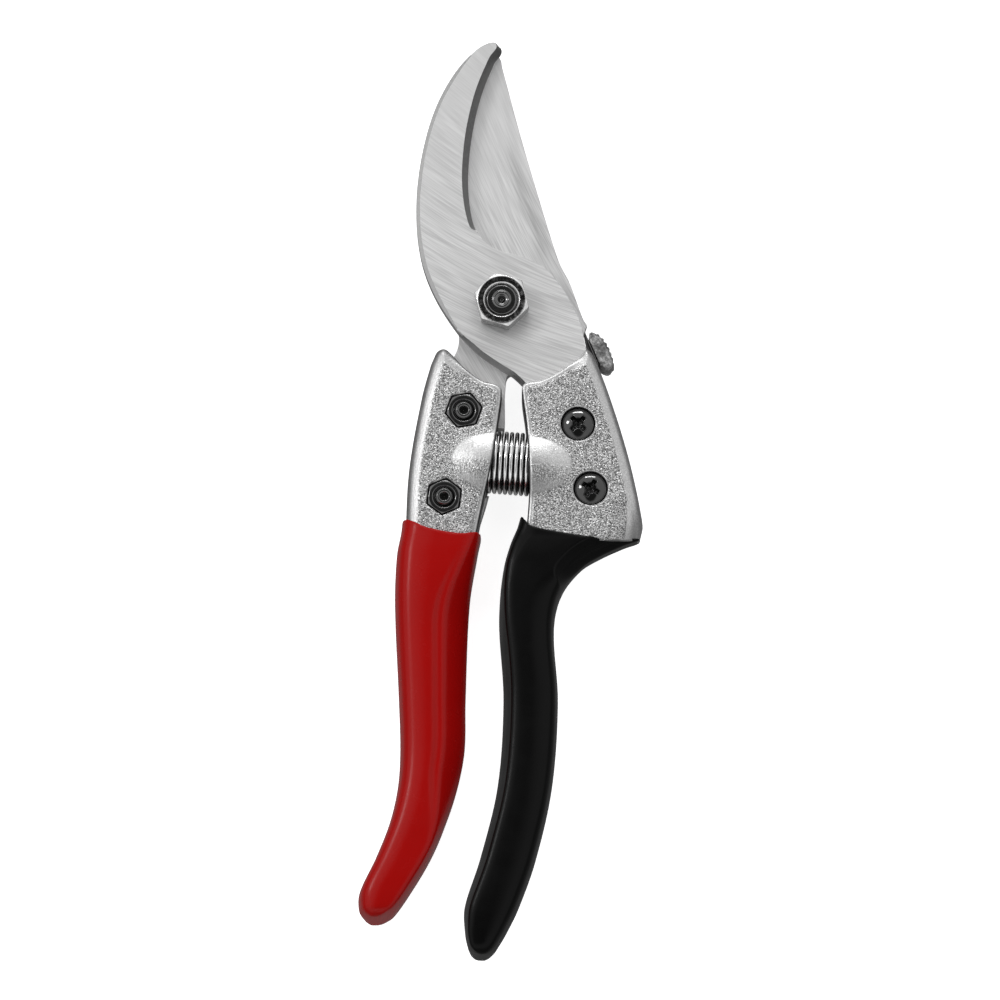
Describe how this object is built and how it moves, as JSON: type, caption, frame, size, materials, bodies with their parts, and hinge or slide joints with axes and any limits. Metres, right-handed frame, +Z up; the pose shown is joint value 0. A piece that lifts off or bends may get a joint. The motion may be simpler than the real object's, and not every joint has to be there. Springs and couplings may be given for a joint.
{
  "type": "pruning shears",
  "caption": "Bypass pruning shears with a hook blade, a ground cutting blade, cast handle heads, dipped vinyl grips, a coil spring and a sliding thumb catch.",
  "frame": {"origin": "pivot axis at the flat underside of the pivot bolt's head, on the surface the shears lie on", "axes": "+X to the black-grip half, +Y to the blade tips, +Z up from the surface along the pivot axis"},
  "size_m": [0.0634, 0.2097, 0.0172],
  "materials": {
    "blade_steel": "brushed",
    "bright_steel": "polished",
    "cast_aluminium": "sandblasted",
    "black_steel": "black oxide",
    "red_vinyl": "glossy",
    "black_vinyl": "satin",
    "pad_grey": "rough"
  },
  "bodies": {
    "black_half": {"hook_blade": "blade_steel", "right_handle": "cast_aluminium", "right_grip": "black_vinyl", "pivot_bolt": "black_steel", "pivot_nut": "bright_steel", "pivot_washer": "bright_steel", "right_upper_screw": "black_steel", "right_lower_screw": "black_steel", "right_upper_nut": "black_steel", "right_lower_nut": "black_steel", "catch_guide": "black_steel", "catch_leaf": "bright_steel", "spring": "bright_steel"},
    "red_half": {"cutting_blade": "blade_steel", "left_handle": "cast_aluminium", "left_grip": "red_vinyl", "left_upper_screw": "black_steel", "left_lower_screw": "black_steel", "left_upper_nut": "black_steel", "left_lower_nut": "black_steel"},
    "catch": {"catch_slider": "black_steel", "catch_pad": "pad_grey", "catch_rivet": "bright_steel"}
  },
  "joints": [
    {"name": "blade_pivot", "type": "hinge", "parent": "black_half", "child": "red_half", "pos_m": [0, 0, 0.008], "axis": [0, 0, -1], "range_deg": [0, 35], "deforming": ["spring"]},
    {"name": "catch_slide", "type": "slide", "parent": "black_half", "child": "catch", "axis": [-0.3827, 0.9239, 0], "range_m": [0, 0.002]}
  ]
}
